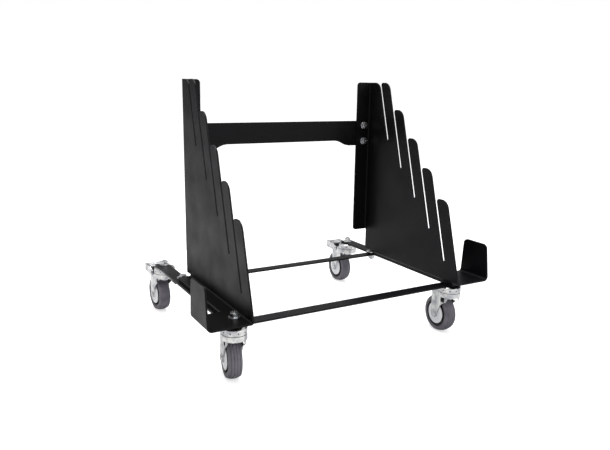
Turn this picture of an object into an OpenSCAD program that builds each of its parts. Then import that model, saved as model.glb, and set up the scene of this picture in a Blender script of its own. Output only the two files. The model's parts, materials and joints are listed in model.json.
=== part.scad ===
// Rolling rack for flat pieces: two folded, slotted sheet-steel side plates on a flat-bar base
// with four 75 mm swivel casters, the rear pair with foot brakes.
// X runs across the rack, Y runs from its front to its back, Z is up from the floor.
// The origin is on the floor, under the centre of the rack's outer box.

/* [Side plates] */
// Clear width between the two side plates
plate_gap = 430; // [340:10:520]
// Thickness of the side plates and the tie plate
plate_t = 3; // [2:0.5:4]
// Height of the plates' top edge above the rails
plate_h = 385; // [350:5:430]
// Inside radius of the folds
bend_r = 2.5; // [2:0.5:5]
// Distance from the rear flange's front face to the front of the shelf
plate_depth = 310; // [290:1:350]
// How far the rear flange reaches in from the plate's inner face
flange_reach = 33; // [30:1:40]
// Height of the rear flange's lower edge above the rails
flange_foot = 55; // [30:1:90]
// Corner radius of the rear flange
flange_corner_r = 7; // [2:1:12]
// How far the narrow bottom flange reaches out from the plate's inner face
foot_reach = 28; // [26:1:30]
// Gap between the rear flange's plane and the back end of the bottom flange
foot_setback = 23; // [20:1:40]

/* [Slots] */
// Width of each slot across its walls
slot_w = 6; // [5:0.5:12]
// Backward lean of the slots from upright
slot_lean = 16; // [12:1:18]
// Depth of each slot's foot below the finger in front of it
slot_depth = 120.5; // [90:0.5:125]
// Forward step from one slot's foot to the next
slot_pitch = 49.3; // [46:0.1:52]
// Drop from one slot's foot to the next
slot_step = 55.3; // [50:0.1:58]
// Distance of the rearmost slot's foot in front of the rear flange
slot_start = 70; // [60:1:75]
// Corner radius on the back of each finger tip
tip_back_r = 5; // [2:0.5:5]
// Corner radius on the front of each finger tip
tip_front_r = 20; // [6:1:20]

/* [Troughs] */
// Distance from a plate's inner face to the outer face of its lip
lip_reach = 80; // [70:1:110]
// Height of the lip's top edge above the rails
lip_h = 76; // [50:1:110]
// Length of the wide shelf and its lip, front to back
shelf_l = 73; // [64:1:90]
// Corner radius at the top of the lip
lip_corner_r = 10; // [4:1:16]
// How far the lip's front edge leans back over its height
lip_taper_front = 8; // [0:1:14]
// How far the lip's back edge leans forward over its height
lip_taper_back = 4; // [0:1:14]
// Inside radius of the fold between the shelf and the lip
lip_bend_r = 6; // [2:0.5:8]
// Distance from the shelf's front edge to the front end of the rail
rail_inset = 22; // [4:1:24]

/* [Base] */
// Width of the two rails
rail_w = 26; // [24:1:32]
// Thickness of the two rails
rail_t = 4; // [3:0.5:6]
// How far the rails reach behind the rear flange's front face
rail_back = 110; // [90:1:140]
// Thickness of the two cross bars
bar_t = 3; // [3:0.5:5]
// Thickness of the packing strips between the plates and the rails
strip_t = 4; // [2:0.5:6]
// Width of the front cross bar
front_bar_w = 24; // [22:1:34]
// Width of the rear cross bar
rear_bar_w = 20; // [18:1:22]
// Distance of the rails' centre line outside the plates' inner faces
rail_offset = 21; // [20:0.5:23]
// Distance of the fixing bolts' line outside the plates' inner faces
bolt_offset = 18; // [17.5:0.5:19]
// Distance of the rear cross bar's bolts outside the plates' inner faces
rear_bolt_offset = 14; // [13.5:0.5:20]
// Distance of the front cross bar's centre line in front of the rear flange
front_bar_y = 268; // [264:1:272]
// Distance of the front casters in front of the rear flange
front_caster_y = 271; // [266:1:273]
// Distance of the rear casters behind the rear flange
rear_caster_y = 97; // [80:1:98]
// Distance of the rear cross bar's centre line in front of the rear flange
rear_bar_y = 10; // [9:0.5:10.5]
// Distance of the foot bolts in front of the rear flange
foot_bolt_y = 118; // [60:1:220]

/* [Tie plate] */
// Height of the tie plate's top edge above the rails
tie_top = 302; // [280:1:340]
// Height of the tie plate between its ends
tie_mid_h = 42.5; // [34:0.5:48]
// Height of the tie plate at its ends
tie_end_h = 54; // [52:0.5:60]
// Distance of the tie bolts inside the plates' inner faces
tie_bolt_inset = 14.5; // [13.5:0.5:17]
// Distance between the two tie bolts at each end
tie_bolt_pitch = 34; // [28:1:36]

/* [Casters] */
// Diameter of the wheels over the tyre
wheel_d = 75; // [70:1:76]
// Width of the tyres
tyre_w = 23; // [20:0.5:24]
// Height of the front casters from the floor to their mounting face
caster_h = 102; // [102:1:108]
// Distance from a front caster's swivel axis to its wheel's axis
front_trail = 25; // [25:0.5:30]
// Distance from a rear caster's swivel axis to its wheel's axis
rear_trail = 36; // [34:0.5:38]
// Turn of the front left caster, positive towards +X
front_left_turn = 10; // [-30:1:30]
// Turn of the front right caster, positive towards +X
front_right_turn = 4; // [-30:1:30]
// Turn of the rear left caster, positive towards +X
rear_left_turn = -3; // [-30:1:30]
// Turn of the rear right caster, positive towards +X
rear_right_turn = 2; // [-30:1:30]

/* [Hidden] */

$fn = 64;
cut = 1;
slot_count = 5;

// Colours
black_paint = [0.09, 0.09, 0.10];
zinc = [0.78, 0.79, 0.80];
rubber_grey = [0.36, 0.35, 0.38];
core_black = [0.06, 0.06, 0.07];
guard_grey = [0.86, 0.87, 0.88];

// Heights of the stack under the plates
seat_z = caster_h;
rail_z = seat_z + bar_t;
rail_top = rail_z + rail_t;
foot_bottom = rail_top + strip_t;
foot_top = foot_bottom + plate_t;
fold_r = bend_r + plate_t;
web_z = foot_bottom + fold_r;
top_z = rail_top + plate_h;

// Caster head, measured down from the mounting face
cap_r = 21.5;
cap_wall = 2.5;
cap_top_t = 3.5;
cap_h = 11.8;
ring_gap = 1;
crown_z = 10;
crown_t = 2.5;
crown_r = 18.5;
ring_bottom = 22;
pin_r = 8;
pin_bore_r = 4.2;
pin_flange_r = 10.5;
pin_flange_t = 2;
crown_bore_r = 9;
lower_race_z = 18.5;
lower_race_t = 2.5;
lower_race_r = 17;
ball_fit = 0.1;
upper_ball_ring_r = 15.5;
lower_ball_ring_r = 13;
ball_count = 12;

// Fork, wheel and axle
hub_w = 24;
fork_gap = 28;
leg_t = 2.5;
leg_end_r = 9;
axle_r = 4;
rivet_r = 6.5;
rivet_h = 1.8;
axle_hole_r = 4.1;
bush_r = 6;
bush_fit = 0.05;
rim_r = 28.5;
rim_wall = 3;
rim_w = 21;
web_t = 5;
hub_r = 11;
guard_r = 21.8;
guard_t = 1.2;
guard_dish = 0.8;
tread_r = 25;
groove_w = 1.2;
groove_d = 0.8;
wheel_r = wheel_d / 2;

// Foot brake, measured from the swivel axis and the mounting face
brake_pin_y = 31;
brake_pin_z = 17.5;
brake_pin_r = 2.5;
brake_pin_fit = 0.1;
brake_ear_r = 6;
pedal_t = 2;
pedal_gap = 0.4;
pedal_back = 71;
pedal_front = 40;
pedal_top = 7.5;
pedal_lip = 15;
shoe_w = 20;
shoe_front = 41;
shoe_back = 48;
shoe_bottom = 28.2;
spring_wire_r = 0.8;
spring_turns = 5;
spring_x = 6;

// Fasteners: shank radius, across flats, head height, nut height, washer radius, washer thickness
M8 = [4, 13, 5.3, 6.5, 8, 1.6];
M8_wide = [4, 13, 5.3, 6.5, 12, 1.6];
M8_caster = [4, 13, 5.3, 6.5, 10, 1.6];
hole_fit = 0.25;
thread_fit = 0.05;
thread_past_nut = 2.5;

// Plan positions; Y is first measured from the rear flange's front face
pedal_half_w = fork_gap / 2 + leg_t + pedal_gap + pedal_t;
rear_turn = max(abs(rear_left_turn), abs(rear_right_turn));
rear_reach = rear_caster_y + pedal_back * cos(rear_turn) + pedal_half_w * sin(rear_turn);
flange_y = (plate_depth - rear_reach) / 2;
plate_in = plate_gap / 2;
plate_out = plate_in + plate_t;
rail_x = plate_in + rail_offset;
bolt_x = plate_in + bolt_offset;
rear_bolt_x = plate_in + rear_bolt_offset;
strip_w = 19.5;
front_y = flange_y - plate_depth;
front_caster = flange_y - front_caster_y;
rear_caster = flange_y + rear_caster_y;
rear_bar = flange_y - rear_bar_y;
foot_bolt = flange_y - foot_bolt_y;
lean = tan(slot_lean);
front_bar = flange_y - front_bar_y;
foot_back = flange_y - foot_setback;

// Each caster: X and Y of its swivel axis, turn, height of its mounting face, trail
front_left = [-bolt_x, front_caster, front_left_turn, seat_z, front_trail];
front_right = [bolt_x, front_caster, front_right_turn, seat_z, front_trail];
rear_left = [-bolt_x, rear_caster, rear_left_turn, rail_z, rear_trail];
rear_right = [bolt_x, rear_caster, rear_right_turn, rail_z, rear_trail];
casters = [front_left, front_right, rear_left, rear_right];
tie_z = rail_top + tie_top - tie_end_h / 2;
tie_bolt_x = plate_in - tie_bolt_inset;
tie_half = plate_in - 4;

// ---- Helpers ----

function arc(c, r, from, to, steps = 8) =
    [for (i = [0:steps]) c + r * [cos(from + (to - from) * i / steps), sin(from + (to - from) * i / steps)]];

// A 2D outline in Y and Z becomes a sheet in the YZ plane that starts at x
module sheet_yz(x, t) {
    translate([x, 0, 0]) rotate([90, 0, 90]) linear_extrude(t) children();
}

// A 2D outline in X and Z becomes a sheet in the XZ plane that starts at y and grows towards +Y
module sheet_xz(y, t) {
    translate([0, y + t, 0]) rotate([90, 0, 0]) linear_extrude(t) children();
}

// A bar with its top at z = 0 and its length along Z, for bolts and pins
module rod(r, l) {
    translate([0, 0, -l]) cylinder(r = r, h = l);
}

module hexagon(flats, h) {
    cylinder(r = flats / 2 / cos(30), h = h, $fn = 6);
}

// A hex bolt that points down, with the underside of its head at z = 0
module bolt(size, grip) {
    hexagon(size[1], size[2]);
    rod(size[0], grip);
}

module washer(size) {
    difference() {
        cylinder(r = size[4], h = size[5]);
        translate([0, 0, -cut]) cylinder(r = size[0] + hole_fit, h = size[5] + 2 * cut);
    }
}

module nut(size) {
    difference() {
        hexagon(size[1], size[3]);
        translate([0, 0, -cut]) cylinder(r = size[0], h = size[3] + 2 * cut);
    }
}

module hole(size, x, y, bottom, top) {
    translate([x, y, bottom - cut]) cylinder(r = size[0] + hole_fit, h = top - bottom + 2 * cut);
}

module both_sides() {
    for (side = [-1, 1]) scale([side, 1, 1]) children();
}

// ---- Side plate ----

// Height and Y of the foot of slot n, the lowest point of its rounded end; slot 1 is the rearmost
function foot_z(n) = top_z - slot_depth - (n - 1) * slot_step;
function foot_y(n) = flange_y - slot_start - (n - 1) * slot_pitch;

// Y of slot n's centre line at a height
function slot_line(n, z) = foot_y(n) + (z - foot_z(n)) * lean;

// Height of the tip of finger n; finger 0 is the plate itself, behind the first slot
function tip_z(n) = top_z - max(0, n - 1) * slot_step;

half_slot = slot_w / 2 / cos(slot_lean);

// Y of a finger's back and front walls at its tip
function tip_back(n) = slot_line(n, tip_z(n)) - half_slot;
function tip_front(n) = n == slot_count ? front_line(tip_z(n)) : slot_line(n + 1, tip_z(n)) + half_slot;

// Y of the plate's leaning front edge at a height
function front_line(z) = front_y + (z - web_z) * lean;

// The stepped outline before the slots are cut; each step runs between slot centre lines
module stepped_outline() {
    steps = [for (n = [1:slot_count - 1]) each [
        [slot_line(n + 1, tip_z(n)), tip_z(n)],
        [slot_line(n + 1, tip_z(n + 1)), tip_z(n + 1)]
    ]];
    polygon(concat(
        [[flange_y - bend_r, web_z], [flange_y - bend_r, top_z]],
        [[slot_line(1, top_z), top_z]],
        steps,
        [[tip_front(slot_count), tip_z(slot_count)], [front_y, web_z]]
    ));
}

module slot(n) {
    translate([foot_y(n) + slot_w / 2 * lean, foot_z(n) + slot_w / 2]) rotate(-slot_lean) {
        circle(slot_w / 2);
        translate([-slot_w / 2, 0]) square([slot_w, plate_h]);
    }
}

// Cuts a rounded corner at p, where walls leave in directions a and b
module corner_cut(p, a, b, r) {
    half = (b - a) / 2;
    reach = r / tan(half);
    centre = p + r / sin(half) * [cos(a + half), sin(a + half)];
    out = p - cut * [cos(a + half), sin(a + half)];
    difference() {
        polygon([out, p + reach * [cos(a), sin(a)], centre, p + reach * [cos(b), sin(b)]]);
        circle_at(centre, r);
    }
}

module circle_at(c, r) {
    translate(c) circle(r);
}

module finger_tips() {
    down = 270 - slot_lean;
    for (n = [0:slot_count]) {
        corner_cut([tip_front(n), tip_z(n)], down, 360, tip_front_r);
    }
    for (n = [1:slot_count]) {
        corner_cut([tip_back(n), tip_z(n)], 180, down, tip_back_r);
    }
}

module web() {
    sheet_yz(plate_in, plate_t) difference() {
        stepped_outline();
        for (n = [1:slot_count]) slot(n);
        finger_tips();
    }
}

// A quarter-round fold with its axis at the origin along +Z and its walls towards +X and +Y
module fold(l, r = bend_r) {
    linear_extrude(l) intersection() {
        difference() {
            circle(r + plate_t);
            circle(r);
        }
        square(r + plate_t + cut);
    }
}

// The fold between the web and the rear flange, and the flange with rounded corners
module rear_flange() {
    z = rail_top + flange_foot;
    translate([plate_in - bend_r, flange_y - bend_r, z]) fold(top_z - z);
    inner = plate_in - flange_reach;
    sheet_xz(flange_y, plate_t) difference() {
        translate([inner, z]) square([flange_reach - bend_r, top_z - z]);
        corner_cut([inner, z], 0, 90, flange_corner_r);
        corner_cut([inner, top_z], 270, 360, flange_corner_r);
    }
}

// A fold along the plate's bottom edge, from the web to the foot
module foot_fold(from, to) {
    translate([plate_in + fold_r, from, web_z]) rotate([-90, 0, 0]) rotate(90) fold(to - from);
}

module foot() {
    foot_fold(front_y, foot_back);
    translate([plate_in + fold_r, front_y, foot_bottom])
        cube([foot_reach - fold_r, foot_back - front_y, plate_t]);
}

// The wide shelf at the front and its upturned lip
module shelf_and_lip() {
    lip_fold_r = lip_bend_r + plate_t;
    lip_in = plate_in + lip_reach - lip_fold_r;
    lip_low = foot_bottom + lip_fold_r;
    back = front_y + shelf_l;
    translate([plate_in + fold_r, front_y, foot_bottom]) cube([lip_in - plate_in - fold_r, shelf_l, plate_t]);
    translate([lip_in, back, lip_low]) rotate([90, 0, 0]) rotate(270) fold(shelf_l, lip_bend_r);
    lip_z = rail_top + lip_h;
    rise = lip_z - lip_low;
    sheet_yz(plate_in + lip_reach - plate_t, plate_t) difference() {
        polygon([
            [front_y, lip_low], [back, lip_low], [back - lip_taper_back, lip_z],
            [front_y + lip_taper_front, lip_z]
        ]);
        corner_cut([front_y + lip_taper_front, lip_z], 270 - atan(lip_taper_front / rise), 360, lip_corner_r);
        corner_cut([back - lip_taper_back, lip_z], 180, 270 + atan(lip_taper_back / rise), lip_corner_r);
    }
}

module side_plate() {
    color(black_paint) difference() {
        union() {
            web();
            rear_flange();
            foot();
            shelf_and_lip();
        }
        hole(M8_caster, bolt_x, front_caster, foot_bottom, foot_top);
        hole(M8, bolt_x, foot_bolt, foot_bottom, foot_top);
        for (up = [-1, 1]) {
            translate([tie_bolt_x, flange_y - cut, tie_z + up * tie_bolt_pitch / 2])
                rotate([-90, 0, 0]) cylinder(r = M8[0] + hole_fit, h = plate_t + 2 * cut);
        }
    }
}

module right_side_plate() {
    side_plate();
}

module left_side_plate() {
    mirror([1, 0, 0]) side_plate();
}

// ---- Tie plate ----

// The lower edge steps down to each end through two equal arcs
tie_step = tie_end_h - tie_mid_h;
tie_curve_l = 44;
tie_curve_end = plate_in - flange_reach - 14;
tie_curve_start = tie_curve_end - tie_curve_l;
tie_curve_r = (tie_curve_l * tie_curve_l + tie_step * tie_step) / (4 * tie_step);
tie_curve_a = 2 * atan(tie_step / tie_curve_l);

module rear_tie_plate() {
    top = rail_top + tie_top;
    mid = top - tie_mid_h;
    low = top - tie_end_h;
    right_edge = concat(
        arc([tie_curve_start, mid - tie_curve_r], tie_curve_r, 90, 90 - tie_curve_a),
        arc([tie_curve_end, low + tie_curve_r], tie_curve_r, 270 - tie_curve_a, 270),
        [[tie_half, low], [tie_half, top]]
    );
    left_edge = [for (i = [len(right_edge) - 1:-1:0]) [-right_edge[i][0], right_edge[i][1]]];
    color(black_paint) difference() {
        sheet_xz(flange_y + plate_t, plate_t) difference() {
            polygon(concat(right_edge, left_edge));
            for (side = [-1, 1]) {
                corner_cut_x(side, top, -1);
                corner_cut_x(side, low, 1);
            }
        }
        both_sides() for (up = [-1, 1]) {
            translate([tie_bolt_x, flange_y, tie_z + up * tie_bolt_pitch / 2])
                rotate([-90, 0, 0]) cylinder(r = M8[0] + hole_fit, h = 2 * plate_t + cut);
        }
    }
}

// Rounds a corner of the tie plate's end: side is its end, z its height, into the way inwards
module corner_cut_x(side, z, into) {
    a = side > 0 ? (into > 0 ? 90 : 180) : (into > 0 ? 0 : 270);
    corner_cut([side * tie_half, z], a, a + 90, flange_corner_r);
}

// ---- Base ----

module rail() {
    front = front_y + rail_inset;
    color(black_paint) difference() {
        translate([rail_x - rail_w / 2, front, rail_z])
            cube([rail_w, flange_y + rail_back - front, rail_t]);
        hole(M8_caster, bolt_x, front_caster, rail_z, rail_top);
        hole(M8_caster, bolt_x, rear_caster, rail_z, rail_top);
        hole(M8, rear_bolt_x, rear_bar, rail_z, rail_top);
        translate([bolt_x, foot_bolt, rail_z - cut]) cylinder(r = M8[0] + thread_fit, h = rail_t + 2 * cut);
    }
}

module right_rail() {
    rail();
}

module left_rail() {
    mirror([1, 0, 0]) rail();
}

// Lifts the plate's foot off the rail
module packing_strip() {
    front = front_y + rail_inset;
    color(black_paint) difference() {
        translate([rail_x - rail_w / 2, front, rail_top]) cube([strip_w, foot_back - front, strip_t]);
        hole(M8_caster, bolt_x, front_caster, rail_top, foot_bottom);
        hole(M8, bolt_x, foot_bolt, rail_top, foot_bottom);
    }
}

module right_packing_strip() {
    packing_strip();
}

module left_packing_strip() {
    mirror([1, 0, 0]) packing_strip();
}

module cross_bar(y, w, size, hole_x, hole_y) {
    half = rail_x + rail_w / 2;
    color(black_paint) difference() {
        translate([-half, y - w / 2, seat_z]) cube([2 * half, w, bar_t]);
        both_sides() hole(size, hole_x, hole_y, seat_z, rail_z);
    }
}

module front_cross_bar() {
    cross_bar(front_bar, front_bar_w, M8_caster, bolt_x, front_caster);
}

module rear_cross_bar() {
    cross_bar(rear_bar, rear_bar_w, M8, rear_bolt_x, rear_bar);
}

// ---- Fasteners ----

module at_tie_bolts() {
    both_sides() for (up = [-1, 1]) {
        translate([tie_bolt_x, flange_y, tie_z + up * tie_bolt_pitch / 2]) rotate([90, 0, 0]) children();
    }
}

tie_stack = 2 * plate_t;

module tie_bolts() {
    color(zinc) at_tie_bolts() translate([0, 0, M8[5]])
        bolt(M8, tie_stack + 2 * M8[5] + M8[3] + thread_past_nut);
}

module tie_washers() {
    color(zinc) at_tie_bolts() {
        washer(M8);
        translate([0, 0, -tie_stack - M8[5]]) washer(M8);
    }
}

module tie_nuts() {
    color(zinc) at_tie_bolts() translate([0, 0, -tie_stack - M8[5] - M8[3]]) nut(M8);
}

module at_foot_bolts() {
    both_sides() translate([bolt_x, foot_bolt, foot_top]) children();
}

// These screw into threads in the rails
module foot_bolts() {
    color(zinc) at_foot_bolts() translate([0, 0, M8[5]])
        bolt(M8, M8[5] + plate_t + strip_t + rail_t - 0.5);
}

module foot_washers() {
    color(zinc) at_foot_bolts() washer(M8);
}

module at_rear_bar_bolts() {
    both_sides() translate([rear_bolt_x, rear_bar, rail_top]) children();
}

rear_bar_stack = rail_t + bar_t;

module rear_bar_bolts() {
    color(zinc) at_rear_bar_bolts() translate([0, 0, M8[5]])
        bolt(M8, rear_bar_stack + 2 * M8[5] + M8[3] + thread_past_nut);
}

module rear_bar_washers() {
    color(zinc) at_rear_bar_bolts() {
        washer(M8_wide);
        translate([0, 0, -rear_bar_stack - M8[5]]) washer(M8);
    }
}

module rear_bar_nuts() {
    color(zinc) at_rear_bar_bolts() translate([0, 0, -rear_bar_stack - M8[5] - M8[3]]) nut(M8);
}

// ---- Casters ----

// Places a part that is drawn with its swivel axis on Z and its mounting face at z = 0
module at_caster(place) {
    translate([place[0], place[1], place[3]]) rotate([0, 0, -place[2]]) children();
}

// The top of what a caster's bolt clamps: the foot plate at the front, the bare rail at the back
function clamp_top(place) = place[1] == front_caster ? foot_top : rail_top;

pin_bottom = lower_race_z + lower_race_t + pin_flange_t;

// The bolt's head is under the caster's head, and its nut is on top
module caster_bolts() {
    color(zinc) for (place = casters) {
        grip = pin_bottom + clamp_top(place) - place[3] + M8_caster[5] + M8_caster[3] + thread_past_nut;
        translate([place[0], place[1], place[3] - pin_bottom]) mirror([0, 0, 1]) bolt(M8_caster, grip);
    }
}

module caster_washers() {
    color(zinc) for (place = casters) {
        translate([place[0], place[1], clamp_top(place)]) washer(M8_caster);
    }
}

module caster_nuts() {
    color(zinc) for (place = casters) {
        translate([place[0], place[1], clamp_top(place) + M8_caster[5]]) nut(M8_caster);
    }
}

module caster_head_caps() {
    color(zinc) for (place = casters) at_caster(place) rotate_extrude() polygon([
        [pin_r, 0], [cap_r - 2, 0], [cap_r, -2], [cap_r, -cap_h], [cap_r - cap_wall, -cap_h],
        [cap_r - cap_wall, -cap_top_t], [pin_r, -cap_top_t]
    ]);
}

module caster_kingpins() {
    top = lower_race_z + lower_race_t;
    color(zinc) for (place = casters) at_caster(place) rotate_extrude() polygon([
        [pin_bore_r, 0], [pin_r, 0], [pin_r, -top], [pin_flange_r, -top],
        [pin_flange_r, -pin_bottom], [pin_bore_r, -pin_bottom]
    ]);
}

module caster_lower_races() {
    color(zinc) for (place = casters) at_caster(place) rotate_extrude()
        translate([pin_r, -lower_race_z - lower_race_t]) square([lower_race_r - pin_r, lower_race_t]);
}

module ball_row(ring_r, top, bottom) {
    r = (bottom - top) / 2 - ball_fit;
    for (i = [0:ball_count - 1]) rotate([0, 0, i * 360 / ball_count])
        translate([ring_r, 0, -(top + bottom) / 2]) sphere(r);
}

module swivel_balls() {
    color(zinc) for (place = casters) at_caster(place) {
        ball_row(upper_ball_ring_r, cap_top_t, crown_z);
        ball_row(lower_ball_ring_r, crown_z + crown_t, lower_race_z);
    }
}

module fork_crown() {
    ring_top = cap_h + ring_gap;
    ring_in = cap_r - 2.2;
    rotate_extrude() polygon([
        [crown_bore_r, -crown_z], [crown_r, -crown_z], [crown_r, -ring_top], [cap_r, -ring_top],
        [cap_r, -ring_bottom], [ring_in, -ring_bottom], [ring_in, -ring_top - crown_t],
        [lower_race_r + 0.5, -ring_top - crown_t], [lower_race_r + 0.5, -crown_z - crown_t],
        [crown_bore_r, -crown_z - crown_t]
    ]);
}

// How far a caster's wheel axis is under its mounting face
function axle_drop(place) = place[3] - wheel_r;

// One leg in Y and Z: wide under the crown, with a hollow front edge, narrowing to the axle
module fork_leg_outline(trail, drop) {
    leg_top = cap_h + ring_gap + 0.5;
    back = trail + leg_end_r;
    hollow = arc([trail - 46, -drop - 2], 36, 70, 8, 10);
    difference() {
        union() {
            circle_at([trail, -drop], leg_end_r);
            polygon(concat(
                [[trail, -drop], [back, -drop], [back, -leg_top - 6], [back - 5, -leg_top]],
                [[-14, -leg_top], [-14, -ring_bottom + 2]],
                hollow
            ));
        }
        circle_at([trail, -drop], axle_hole_r);
    }
}

// The legs stand clear of the lower race and of the bolt's head
module fork_body(place) {
    difference() {
        union() {
            fork_crown();
            for (x = [-fork_gap / 2 - leg_t, fork_gap / 2]) sheet_yz(x, leg_t)
                fork_leg_outline(place[4], axle_drop(place));
        }
        translate([0, 0, -crown_z - crown_t]) rod(lower_race_r + 0.5, 22);
    }
}

module fork(place) {
    color(zinc) at_caster(place) fork_body(place);
}

module braked_fork(place) {
    color(zinc) at_caster(place) difference() {
        fork_body(place);
        along_x(brake_pin_y, brake_pin_z, brake_pin_r + brake_pin_fit, fork_gap + 2 * leg_t + 2 * cut);
    }
}

// A rod of length l across the caster, centred on the swivel axis's plane
module along_x(y, z, r, l) {
    translate([-l / 2, y, -z]) rotate([0, 90, 0]) cylinder(r = r, h = l);
}

// Rivet across the fork, with a low head on each side
module axle(place) {
    out = fork_gap / 2 + leg_t;
    color(zinc) about_axle(place) polygon([
        [0, -out - rivet_h], [rivet_r - 1, -out - rivet_h], [rivet_r, -out - rivet_h + 1], [rivet_r, -out],
        [axle_r, -out], [axle_r, out], [rivet_r, out], [rivet_r, out + rivet_h - 1],
        [rivet_r - 1, out + rivet_h], [0, out + rivet_h]
    ]);
}

// Turns a half-section about the wheel's axle; in the section, x is the radius and y is across
module about_axle(place) {
    at_caster(place) translate([0, place[4], -axle_drop(place)]) rotate([0, 90, 0]) rotate_extrude()
        children();
}

module bush(place) {
    color(zinc) about_axle(place) translate([axle_hole_r, -fork_gap / 2])
        square([bush_r - axle_hole_r, fork_gap]);
}

module thread_guards(place) {
    at = fork_gap / 2 - guard_t;
    color(guard_grey) for (side = [-1, 1]) about_axle(place) scale([1, side]) polygon([
        [bush_r, at], [guard_r - 3, at - guard_dish], [guard_r, at - 2 * guard_dish],
        [guard_r, at - 2 * guard_dish + guard_t], [guard_r - 3, at - guard_dish + guard_t],
        [guard_r - 12, at + guard_t], [bush_r, at + guard_t]
    ]);
}

module wheel_core(place) {
    color(core_black) about_axle(place) {
        translate([rim_r - rim_wall, -rim_w / 2]) square([rim_wall, rim_w]);
        translate([hub_r - 1, -web_t / 2]) square([rim_r - hub_r, web_t]);
        translate([bush_r + bush_fit, -hub_w / 2]) square([hub_r - bush_r - bush_fit, hub_w]);
    }
}

module tyre(place) {
    color(rubber_grey) about_axle(place) difference() {
        intersection() {
            translate([rim_r, -tyre_w / 2]) square([wheel_r - rim_r + cut, tyre_w]);
            circle_at([wheel_r - tread_r, 0], tread_r);
        }
        for (y = [-7.5, -2.5, 2.5, 7.5]) {
            crest = wheel_r - tread_r + sqrt(tread_r * tread_r - y * y);
            translate([crest - groove_d, y - groove_w / 2]) square([groove_d + cut, groove_w]);
        }
    }
}

// ---- Foot brakes ----

// A wide tread over two side walls that reach forward to the pivot pin
module brake_pedal(place) {
    inner = fork_gap / 2 + leg_t + pedal_gap;
    color(zinc) at_caster(place) difference() {
        union() {
            translate([-inner - pedal_t, pedal_front, -pedal_top - pedal_t])
                cube([2 * (inner + pedal_t), pedal_back - pedal_front, pedal_t]);
            translate([-inner - pedal_t, pedal_back - pedal_t, -pedal_top - pedal_lip])
                cube([2 * (inner + pedal_t), pedal_t, pedal_lip]);
            for (x = [-inner - pedal_t, inner]) sheet_yz(x, pedal_t) pedal_wall_outline();
        }
        along_x(brake_pin_y, brake_pin_z, brake_pin_r, 2 * (inner + pedal_t + cut));
    }
}

module pedal_wall_outline() {
    circle_at([brake_pin_y, -brake_pin_z], brake_ear_r);
    polygon([
        [brake_pin_y - brake_ear_r, -brake_pin_z], [pedal_front, -pedal_top],
        [pedal_back, -pedal_top], [pedal_back, -pedal_top - pedal_lip],
        [brake_pin_y, -brake_pin_z - brake_ear_r]
    ]);
}

module brake_pin(place) {
    color(zinc) at_caster(place) along_x(brake_pin_y, brake_pin_z, brake_pin_r, 2 * pedal_half_w + 2);
}

// The shoe hangs from the pedal's underside, just clear of the tyre
module brake_shoe(place) {
    color(core_black) at_caster(place) translate([-shoe_w / 2, shoe_front, -shoe_bottom])
        cube([shoe_w, shoe_back - shoe_front, shoe_bottom - pedal_top - pedal_t]);
}

// Closed coils around the pivot pin
module brake_spring(place) {
    coil_r = brake_pin_r + spring_wire_r + 0.3;
    pitch = 2 * spring_wire_r - 0.2;
    color(zinc) at_caster(place) translate([-spring_x, brake_pin_y, -brake_pin_z]) rotate([0, 90, 0])
        rotate_extrude() for (i = [0:spring_turns - 1]) circle_at([coil_r, i * pitch], spring_wire_r, $fn = 24);
}

// ---- Assembly ----

left_side_plate();
right_side_plate();
rear_tie_plate();
left_rail();
right_rail();
left_packing_strip();
right_packing_strip();
front_cross_bar();
rear_cross_bar();
tie_bolts();
tie_washers();
tie_nuts();
foot_bolts();
foot_washers();
rear_bar_bolts();
rear_bar_washers();
rear_bar_nuts();
caster_bolts();
caster_washers();
caster_nuts();
caster_head_caps();
caster_kingpins();
caster_lower_races();
swivel_balls();
fork(front_left);  // front_left_fork
axle(front_left);  // front_left_axle
bush(front_left);  // front_left_bush
thread_guards(front_left);  // front_left_thread_guards
wheel_core(front_left);  // front_left_wheel_core
tyre(front_left);  // front_left_tyre
fork(front_right);  // front_right_fork
axle(front_right);  // front_right_axle
bush(front_right);  // front_right_bush
thread_guards(front_right);  // front_right_thread_guards
wheel_core(front_right);  // front_right_wheel_core
tyre(front_right);  // front_right_tyre
braked_fork(rear_left);  // rear_left_fork
axle(rear_left);  // rear_left_axle
bush(rear_left);  // rear_left_bush
thread_guards(rear_left);  // rear_left_thread_guards
wheel_core(rear_left);  // rear_left_wheel_core
tyre(rear_left);  // rear_left_tyre
brake_pedal(rear_left);  // rear_left_brake_pedal
brake_pin(rear_left);  // rear_left_brake_pin
brake_shoe(rear_left);  // rear_left_brake_shoe
brake_spring(rear_left);  // rear_left_brake_spring
braked_fork(rear_right);  // rear_right_fork
axle(rear_right);  // rear_right_axle
bush(rear_right);  // rear_right_bush
thread_guards(rear_right);  // rear_right_thread_guards
wheel_core(rear_right);  // rear_right_wheel_core
tyre(rear_right);  // rear_right_tyre
brake_pedal(rear_right);  // rear_right_brake_pedal
brake_pin(rear_right);  // rear_right_brake_pin
brake_shoe(rear_right);  // rear_right_brake_shoe
brake_spring(rear_right);  // rear_right_brake_spring
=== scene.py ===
import json
import math

import bpy
import bmesh
from mathutils import Matrix, Vector


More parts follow.
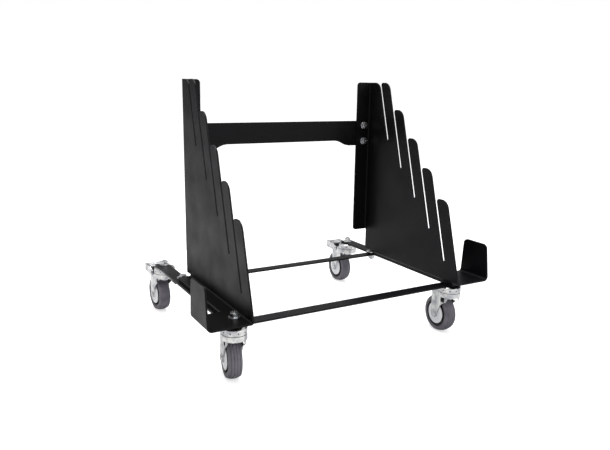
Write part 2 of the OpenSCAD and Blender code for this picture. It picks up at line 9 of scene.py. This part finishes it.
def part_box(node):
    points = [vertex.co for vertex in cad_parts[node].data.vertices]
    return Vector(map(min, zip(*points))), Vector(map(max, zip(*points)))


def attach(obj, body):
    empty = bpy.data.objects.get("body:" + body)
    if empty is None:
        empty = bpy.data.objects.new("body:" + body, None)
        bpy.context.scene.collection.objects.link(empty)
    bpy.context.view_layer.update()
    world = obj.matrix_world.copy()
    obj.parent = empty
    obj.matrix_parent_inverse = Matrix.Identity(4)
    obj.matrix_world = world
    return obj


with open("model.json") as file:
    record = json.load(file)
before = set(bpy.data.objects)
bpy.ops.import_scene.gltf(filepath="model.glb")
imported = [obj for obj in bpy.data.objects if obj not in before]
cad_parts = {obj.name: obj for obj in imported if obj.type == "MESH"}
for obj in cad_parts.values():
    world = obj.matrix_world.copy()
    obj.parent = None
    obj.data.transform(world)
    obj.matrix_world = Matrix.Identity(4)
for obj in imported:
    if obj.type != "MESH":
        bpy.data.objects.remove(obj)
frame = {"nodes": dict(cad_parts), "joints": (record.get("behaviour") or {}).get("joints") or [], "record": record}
nodes = frame["nodes"]
record = frame["record"]
joints = {j["name"]: j for j in frame["joints"]}
MM = 0.001
UP = Vector((0, 0, 1))


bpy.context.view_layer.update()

# Sizes of the CAD pieces that the small detail sits on
PLATE_T = 3 * MM          # side plate and tie plate
BOLT_R = 4 * MM           # M8 shank
BOLT_END = 2.5 * MM       # bare end of a bolt past its nut
PITCH = 1.25 * MM         # M8 thread
NUT_H = 6.5 * MM
WASHER_R = 8 * MM
HEAD_R = 21.5 * MM        # the two rings of a caster's head
GUARD_FACE = 14.0 * MM    # wheel's middle to the outside of a thread guard
RIVET_FACE = 18.3 * MM    # wheel's middle to the outside of an axle rivet's head


# ---- Materials ----

def add(tree, kind, **values):
    """A new node; each value is a property of it, or the default of its input with that name."""
    node = tree.nodes.new(kind)
    for key, value in values.items():
        if hasattr(node, key):
            setattr(node, key, value)
        else:
            node.inputs[key.replace("_", " ")].default_value = value
    return node


def surface(name, base, second, rough, metal=0.0, patch=9.0, grain=900.0, bump=0.06, edge=0.5,
            coat=0.0, shine=0.5):
    """A procedural finish: two tones in soft patches, uneven roughness, a fine grain and rounded edges; in the
    black paint the two tones are painted sheen and painted reflection.
    """
    mat = bpy.data.materials.new(name)
    mat.use_nodes = True
    tree = mat.node_tree
    link = tree.links.new
    shader = tree.nodes["Principled BSDF"]
    shader.inputs["Metallic"].default_value = metal
    shader.inputs["Coat Weight"].default_value = coat
    shader.inputs["Coat Roughness"].default_value = 0.25
    shader.inputs["Specular IOR Level"].default_value = shine
    place = add(tree, "ShaderNodeTexCoord").outputs["Object"]

    # The two tones, which differ at random; in the black paint they are a painted warm sheen and a painted bluish
    # reflection, in large patches
    tone_and_sheen_patches = add(tree, "ShaderNodeTexNoise", Scale=patch, Detail=5.0)
    link(place, tone_and_sheen_patches.inputs["Vector"])
    tone_and_sheen_ramp = add(tree, "ShaderNodeValToRGB")
    for stop, position, tone in zip(tone_and_sheen_ramp.color_ramp.elements, (0.36, 0.66), (base, second)):
        stop.position = position
        stop.color = (*tone, 1)
    link(tone_and_sheen_patches.outputs["Fac"], tone_and_sheen_ramp.inputs["Fac"])
    link(tone_and_sheen_ramp.outputs["Color"], shader.inputs["Base Color"])

    # Uneven roughness, in patches a sixth of the tones' size
    wear = add(tree, "ShaderNodeTexNoise", Scale=patch * 6, Detail=6.0)
    link(place, wear.inputs["Vector"])
    spread = add(tree, "ShaderNodeMapRange", From_Min=0.3, From_Max=0.7, To_Min=rough[0], To_Max=rough[1])
    link(wear.outputs["Fac"], spread.inputs["Value"])
    link(spread.outputs["Result"], shader.inputs["Roughness"])

    # Fine grain, and edges rounded by `edge` millimetres
    fine = add(tree, "ShaderNodeTexNoise", Scale=grain, Detail=3.0)
    link(place, fine.inputs["Vector"])
    rounded = add(tree, "ShaderNodeBevel", samples=4, Radius=edge * MM)
    relief = add(tree, "ShaderNodeBump", Strength=bump, Distance=0.6 * MM)
    link(fine.outputs["Fac"], relief.inputs["Height"])
    link(rounded.outputs["Normal"], relief.inputs["Normal"])
    link(relief.outputs["Normal"], shader.inputs["Normal"])
    return mat


finish = {
    # Painted sheen and painted reflection: the black paint's warm tone stands in for a warm sheen, and its bluish
    # tone for the floor's bluish reflection
    "black_powder_coat": surface("black_powder_coat", (0.0036, 0.0031, 0.0028), (0.0048, 0.0048, 0.0064),
                                 (0.33, 0.46), patch=4.0, grain=1500.0, bump=0.09, edge=0.9, coat=0.02,
                                 shine=0.13),
    "zinc_fasteners": surface("zinc_fasteners", (0.5, 0.51, 0.54), (0.66, 0.67, 0.66), (0.2, 0.36),
                              metal=1.0, patch=60.0, grain=2500.0, bump=0.05, edge=0.5),
    "zinc_caster_steel": surface("zinc_caster_steel", (0.36, 0.37, 0.4), (0.78, 0.78, 0.76), (0.14, 0.32),
                                 metal=1.0, patch=70.0, grain=1800.0, bump=0.06, edge=0.6),
    "bearing_steel": surface("bearing_steel", (0.55, 0.55, 0.57), (0.6, 0.6, 0.6), (0.12, 0.2),
                             metal=1.0, patch=60.0, bump=0.02, edge=0.2),
    "tyre_rubber": surface("tyre_rubber", (0.1, 0.094, 0.115), (0.17, 0.16, 0.185), (0.5, 0.72),
                           patch=40.0, grain=1400.0, bump=0.12, edge=0.5),
    "wheel_plastic": surface("wheel_plastic", (0.008, 0.008, 0.009), (0.016, 0.016, 0.017), (0.34, 0.5),
                             patch=50.0, grain=1600.0, bump=0.08, edge=0.5),
    "thread_guard_steel": surface("thread_guard_steel", (0.8, 0.81, 0.84), (0.88, 0.88, 0.9), (0.3, 0.46),
                                  metal=0.15, patch=45.0, grain=1500.0, bump=0.05, edge=0.5),
    "brake_shoe_rubber": surface("brake_shoe_rubber", (0.016, 0.016, 0.018), (0.03, 0.03, 0.03), (0.6, 0.8),
                                 patch=50.0, bump=0.12, edge=0.5),
}
recess = surface("shadowed_recess", (0.02, 0.02, 0.022), (0.05, 0.05, 0.05), (0.6, 0.8), patch=60.0, edge=0.1)

for part in record["subparts"]:
    mesh = nodes[part["node"]].data
    chosen = finish[part["material_slot"]]
    if mesh.materials:
        for i in range(len(mesh.materials)):
            mesh.materials[i] = chosen
    else:
        mesh.materials.append(chosen)


# ---- Shapes: each is a pair, (vertices, faces), in metres ----

def basis(axis):
    """A matrix whose Z column is axis."""
    return Vector(axis).to_track_quat("Z", "Y").to_matrix()


def bead(radius, wide, tall, height=0.0):
    """The oval section of a rolled ring: its middle's radius and height, its half width and half height."""
    angles = [math.radians(t) for t in range(0, 360, 45)]
    return [(radius + wide * math.cos(a), height + tall * math.sin(a)) for a in angles]


def lathe(profile, turn, centre, steps=40):
    """A turned ring; its profile is a closed list of (radius, height), with heights along turn's Z."""
    count = len(profile)
    verts, faces = [], []
    for i in range(steps):
        a = 2 * math.pi * i / steps
        verts += [turn @ Vector((r * math.cos(a), r * math.sin(a), h)) + centre for r, h in profile]
    for i in range(steps):
        j = (i + 1) % steps
        for k in range(count):
            m = (k + 1) % count
            faces.append((i * count + k, j * count + k, j * count + m, i * count + m))
    return verts, faces


def joined(shapes):
    """Several shapes as one."""
    verts, faces = [], []
    for more_verts, more_faces in shapes:
        faces += [tuple(k + len(verts) for k in face) for face in more_faces]
        verts += more_verts
    return verts, faces


def piece(name, shape, body, slot, mat=None, smooth=True):
    """Makes a named piece that rides on a CAD body; its finish is the slot's own, or mat."""
    verts, faces = shape
    mesh = bpy.data.meshes.new(name)
    mesh.from_pydata([tuple(v) for v in verts], [], faces)
    work = bmesh.new()
    work.from_mesh(mesh)
    bmesh.ops.recalc_face_normals(work, faces=work.faces)
    work.to_mesh(mesh)
    work.free()
    mesh.materials.append(mat or finish[slot])
    if smooth:
        mesh.shade_smooth()
    obj = bpy.data.objects.new(name, mesh)
    bpy.context.scene.collection.objects.link(obj)
    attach(obj, body)


# ---- Small detail on the fasteners ----

def thread(name, nut_face, axis):
    """Thread ridges round a bolt's bare end, with crests just proud of the shank."""
    root, crest = BOLT_R - 0.2 * MM, BOLT_R + 0.12 * MM
    ridges = []
    for i in range(int(BOLT_END / PITCH)):
        low = (i + 0.12) * PITCH
        profile = [(root, low), (crest, low + PITCH * 0.38), (root, low + PITCH * 0.76)]
        ridges.append(lathe(profile, basis(axis), Vector(nut_face)))
    piece(name, joined(ridges), "frame", "zinc_fasteners")


def collar(name, centre, axis, inner, outer, height, sunk, body):
    """A raised ring with chamfered edges on the face of a nut, a bolt's head or a rivet's head."""
    bevel = height * 0.45
    low, high = -sunk, -sunk + height
    profile = [(inner, low), (outer, low), (outer, high - bevel), (outer - bevel, high),
               (inner + bevel, high), (inner, high - bevel)]
    piece(name, lathe(profile, basis(axis), Vector(centre), 48), body, "zinc_fasteners")


def caster_nut_detail(corner, swivel):
    """The thread and the nut's face over a caster; the rear nuts stand lower, on the bare rails."""
    nut_low, nut_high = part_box("caster_nuts")
    bolt_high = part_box("caster_bolts")[1]
    drop = 0 if corner.startswith("front") else nut_high.z - nut_low.z - NUT_H
    nut_face = (swivel.x, swivel.y, bolt_high.z - drop - BOLT_END)
    thread(corner + "_bolt_thread", nut_face, UP)
    collar(corner + "_nut_face", nut_face, UP, 4.3 * MM, 6.1 * MM, 0.3 * MM, 0.05 * MM, "frame")


def tie_bolt_detail():
    """Raised faces on the four tie bolts' heads in front, and their threads behind."""
    bolt_front, bolt_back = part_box("tie_bolts")
    tie_low, tie_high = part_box("tie_washers")
    for side, side_name in ((-1, "left"), (1, "right")):
        x = side * (tie_high.x - WASHER_R)
        for z, level_name in ((tie_low.z + WASHER_R, "low"), (tie_high.z - WASHER_R, "high")):
            tag = f"{side_name}_{level_name}"
            thread(f"tie_thread_{tag}", (x, bolt_back.y - BOLT_END, z), (0, 1, 0))
            collar(f"tie_head_{tag}", (x, bolt_front.y, z), (0, -1, 0), 0.4 * MM, 5.9 * MM, 0.35 * MM,
                   0.05 * MM, "frame")


# ---- Small detail on the casters ----

def head_detail(corner, swivel):
    """Rolled rims of the head's two rings, and a row of punched marks round the upper one."""
    fork = corner + "_fork"
    rim = bead(HEAD_R - 0.9 * MM, 1.0 * MM, 0.8 * MM)
    for level, body, tag in ((-2.6, "frame", "upper_rim"), (-11.0, "frame", "lower_rim"),
                             (-21.2, fork, "skirt_rim")):
        shape = lathe(rim, Matrix.Identity(3), swivel + UP * level * MM, 64)
        piece(f"{corner}_head_{tag}", shape, body, "zinc_caster_steel")

    mark = [(0.05 * MM, 0.3 * MM), (1.1 * MM, 0.3 * MM), (1.25 * MM, 0.0), (0.05 * MM, -0.3 * MM)]
    mark_count, mark_level = 10, -7.0
    marks = []
    for i in range(mark_count):
        a = 2 * math.pi * (i + 0.35) / mark_count
        out = Vector((math.cos(a), math.sin(a), 0))
        centre = swivel + UP * mark_level * MM + out * (HEAD_R - 0.12 * MM)
        marks.append(lathe(mark, basis(out), centre, 12))
    piece(corner + "_head_marks", joined(marks), "frame", "zinc_caster_steel", recess)


def wheel_detail(corner, wheel, across):
    """Pressed rings on the thread guards, rims on the axle rivet's heads, and ribs moulded on the core."""
    fork, roll = corner + "_fork", corner + "_wheel"
    # Number in the piece's name, then radius, half height and depth below the guard's face, in mm
    guard_rings = ((13, 13.5, 0.35, 0.18), (8, 8.5, 0.3, 0.0))
    for side, tag in ((-1, "head_side"), (1, "nut_side")):
        face = wheel + across * side * GUARD_FACE
        for number, radius, tall, sunk in guard_rings:
            ring = bead(radius * MM, 0.9 * MM, tall * MM)
            shape = lathe(ring, basis(across), face - across * side * sunk * MM, 56)
            piece(f"{corner}_guard_ring_{tag}_{number}", shape, fork, "thread_guard_steel")
    for side, tag in ((-1, "left"), (1, "right")):
        collar(f"{corner}_rivet_rim_{tag}", wheel + across * side * RIVET_FACE, across * side,
               2.2 * MM, 4.6 * MM, 0.4 * MM, 0.1 * MM, fork)

    ribs = [lathe(bead(25.9 * MM, 0.7 * MM, 0.5 * MM, side * 10.5 * MM), basis(across), wheel, 64)
            for side in (-1, 1)]
    piece(corner + "_rim_ribs", joined(ribs), roll, "wheel_plastic")


def tread_ribs(corner, swivel, outward, across):
    """Four low bars across the brake pedal's tread, in a row away from the swivel axis."""
    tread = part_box(corner + "_brake_pedal")[1].z
    first, step, count = 46, 6.5, 4
    half_length, half_width, tall = 15 * MM, 1.1 * MM, 0.7 * MM
    foot = [(-1, -1, -0.1), (1, -1, -0.1), (1, 1, -0.1), (-1, 1, -0.1)]
    crest = [(-0.96, -0.4, 1), (0.96, -0.4, 1), (0.96, 0.4, 1), (-0.96, 0.4, 1)]
    faces = ((0, 3, 2, 1), (4, 5, 6, 7), (0, 1, 5, 4), (1, 2, 6, 5), (2, 3, 7, 6), (3, 0, 4, 7))
    bars = []
    for n in range(count):
        middle = swivel + outward * (first + step * n) * MM
        verts = []
        for along, wide, high in foot + crest:
            point = middle + across * along * half_length + outward * wide * half_width
            verts.append(Vector((point.x, point.y, tread + high * tall)))
        bars.append((verts, faces))
    piece(corner + "_tread_ribs", joined(bars), corner + "_brake", "zinc_caster_steel", smooth=False)


for corner in ("front_left", "front_right", "rear_left", "rear_right"):
    swivel = Vector(joints[corner + "_swivel"]["pos_m"])
    wheel = Vector(joints[corner + "_roll"]["pos_m"])
    across = Vector(joints[corner + "_roll"]["axis"]).normalized()
    head_detail(corner, swivel)
    wheel_detail(corner, wheel, across)
    caster_nut_detail(corner, swivel)
    if corner.startswith("rear"):
        outward = Vector((wheel.x - swivel.x, wheel.y - swivel.y, 0)).normalized()
        tread_ribs(corner, swivel, outward, across)
tie_bolt_detail()


# ---- Floor, background, light and camera ----

def floor_material():
    """A pale matte floor that takes the object's shadow; the camera sees it lifted to white."""
    pale = 0.82
    lift_to_white = 0.56
    mat = bpy.data.materials.new("floor")
    mat.use_nodes = True
    tree = mat.node_tree
    tree.nodes.clear()
    link = tree.links.new
    out = add(tree, "ShaderNodeOutputMaterial")
    matte = add(tree, "ShaderNodeBsdfDiffuse", Color=(pale, pale, pale, 1))
    glow = add(tree, "ShaderNodeEmission")
    path = add(tree, "ShaderNodeLightPath")
    scale = add(tree, "ShaderNodeMath", operation="MULTIPLY")
    scale.inputs[1].default_value = lift_to_white
    both = add(tree, "ShaderNodeAddShader")
    link(path.outputs["Is Camera Ray"], scale.inputs[0])
    link(scale.outputs[0], glow.inputs["Strength"])
    link(matte.outputs[0], both.inputs[0])
    link(glow.outputs[0], both.inputs[1])
    link(both.outputs[0], out.inputs["Surface"])
    return mat


def studio_world():
    """Soft light that is brightest overhead and dim at and below the horizon; the camera sees white."""
    world = bpy.data.worlds.new("studio")
    world.use_nodes = True
    tree = world.node_tree
    tree.nodes.clear()
    link = tree.links.new
    out = add(tree, "ShaderNodeOutputWorld")
    where = add(tree, "ShaderNodeTexCoord")
    split = add(tree, "ShaderNodeSeparateXYZ")
    lift = add(tree, "ShaderNodeMapRange", From_Min=-1.0)
    sky = add(tree, "ShaderNodeValToRGB")
    horizon, zenith = sky.color_ramp.elements
    horizon.position = 0.5
    horizon.color = (0.1, 0.1, 0.11, 1)
    zenith.position = 1.0
    zenith.color = (1.0, 1.0, 1.0, 1)
    for at, grey in ((0.6, 0.2), (0.68, 0.75), (0.84, 0.95)):
        stop = sky.color_ramp.elements.new(at)
        stop.color = (grey * 0.97, grey * 0.985, grey, 1)
    soft = add(tree, "ShaderNodeBackground", Strength=0.85)
    seen = add(tree, "ShaderNodeBackground", Color=(1, 1, 1, 1), Strength=1.0)
    path = add(tree, "ShaderNodeLightPath")
    pick = add(tree, "ShaderNodeMixShader")
    link(where.outputs["Generated"], split.inputs[0])
    link(split.outputs["Z"], lift.inputs["Value"])
    link(lift.outputs["Result"], sky.inputs["Fac"])
    link(sky.outputs["Color"], soft.inputs["Color"])
    link(path.outputs["Is Camera Ray"], pick.inputs["Fac"])
    link(soft.outputs[0], pick.inputs[1])
    link(seen.outputs[0], pick.inputs[2])
    link(pick.outputs[0], out.inputs["Surface"])
    return world


def lamp(name, place, aim, size, watts, tint=(1, 1, 1)):
    """A rectangular area lamp that points at aim."""
    data = bpy.data.lights.new(name, "AREA")
    data.shape = "RECTANGLE"
    data.size, data.size_y = size
    data.energy = watts
    data.color = tint
    obj = bpy.data.objects.new(name, data)
    obj.location = place
    obj.rotation_euler = (Vector(aim) - Vector(place)).to_track_quat("-Z", "Y").to_euler()
    bpy.context.scene.collection.objects.link(obj)


def studio_camera():
    """The camera, set out from the middle of the side plates' rear flanges and the top of the rails."""
    flange_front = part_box("rear_tie_plate")[0].y - PLATE_T
    rail_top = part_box("left_rail")[1].z
    place = Vector((-0.61644, flange_front - 1.1585, rail_top + 0.37635))
    yaw, pitch, roll = (math.radians(a) for a in (30.05, 12.55, 0.96))
    ahead = Vector((math.sin(yaw) * math.cos(pitch), math.cos(yaw) * math.cos(pitch), -math.sin(pitch)))
    level = Vector((math.cos(yaw), -math.sin(yaw), 0))
    above = level.cross(ahead)
    right = level * math.cos(roll) + above * math.sin(roll)
    top = -level * math.sin(roll) + above * math.cos(roll)

    data = bpy.data.cameras.new("camera")
    data.lens = 36.96
    data.sensor_width = 36
    camera = bpy.data.objects.new("camera", data)
    camera.matrix_world = Matrix((
        (right.x, top.x, -ahead.x, place.x),
        (right.y, top.y, -ahead.y, place.y),
        (right.z, top.z, -ahead.z, place.z),
        (0, 0, 0, 1)))
    bpy.context.scene.collection.objects.link(camera)
    return camera


bpy.ops.mesh.primitive_plane_add(size=40, location=(0, 0, -0.2 * MM))
floor = bpy.context.object
floor.name = "floor"
floor.data.materials.append(floor_material())

bpy.context.scene.world = studio_world()
lamp("overhead", (0.1, 0.3, 2.3), (0, 0, 0.1), (1.8, 1.4), 34)
lamp("left_key", (-2.1, -0.7, 1.5), (0, 0, 0.25), (1.3, 1.3), 7, (1.0, 0.86, 0.76))
lamp("front_fill", (1.2, -2.4, 1.2), (0, 0, 0.2), (1.4, 1.2), 16, (0.95, 0.97, 1.0))
bpy.context.scene.camera = studio_camera()
bpy.context.scene.view_settings.view_transform = "Standard"
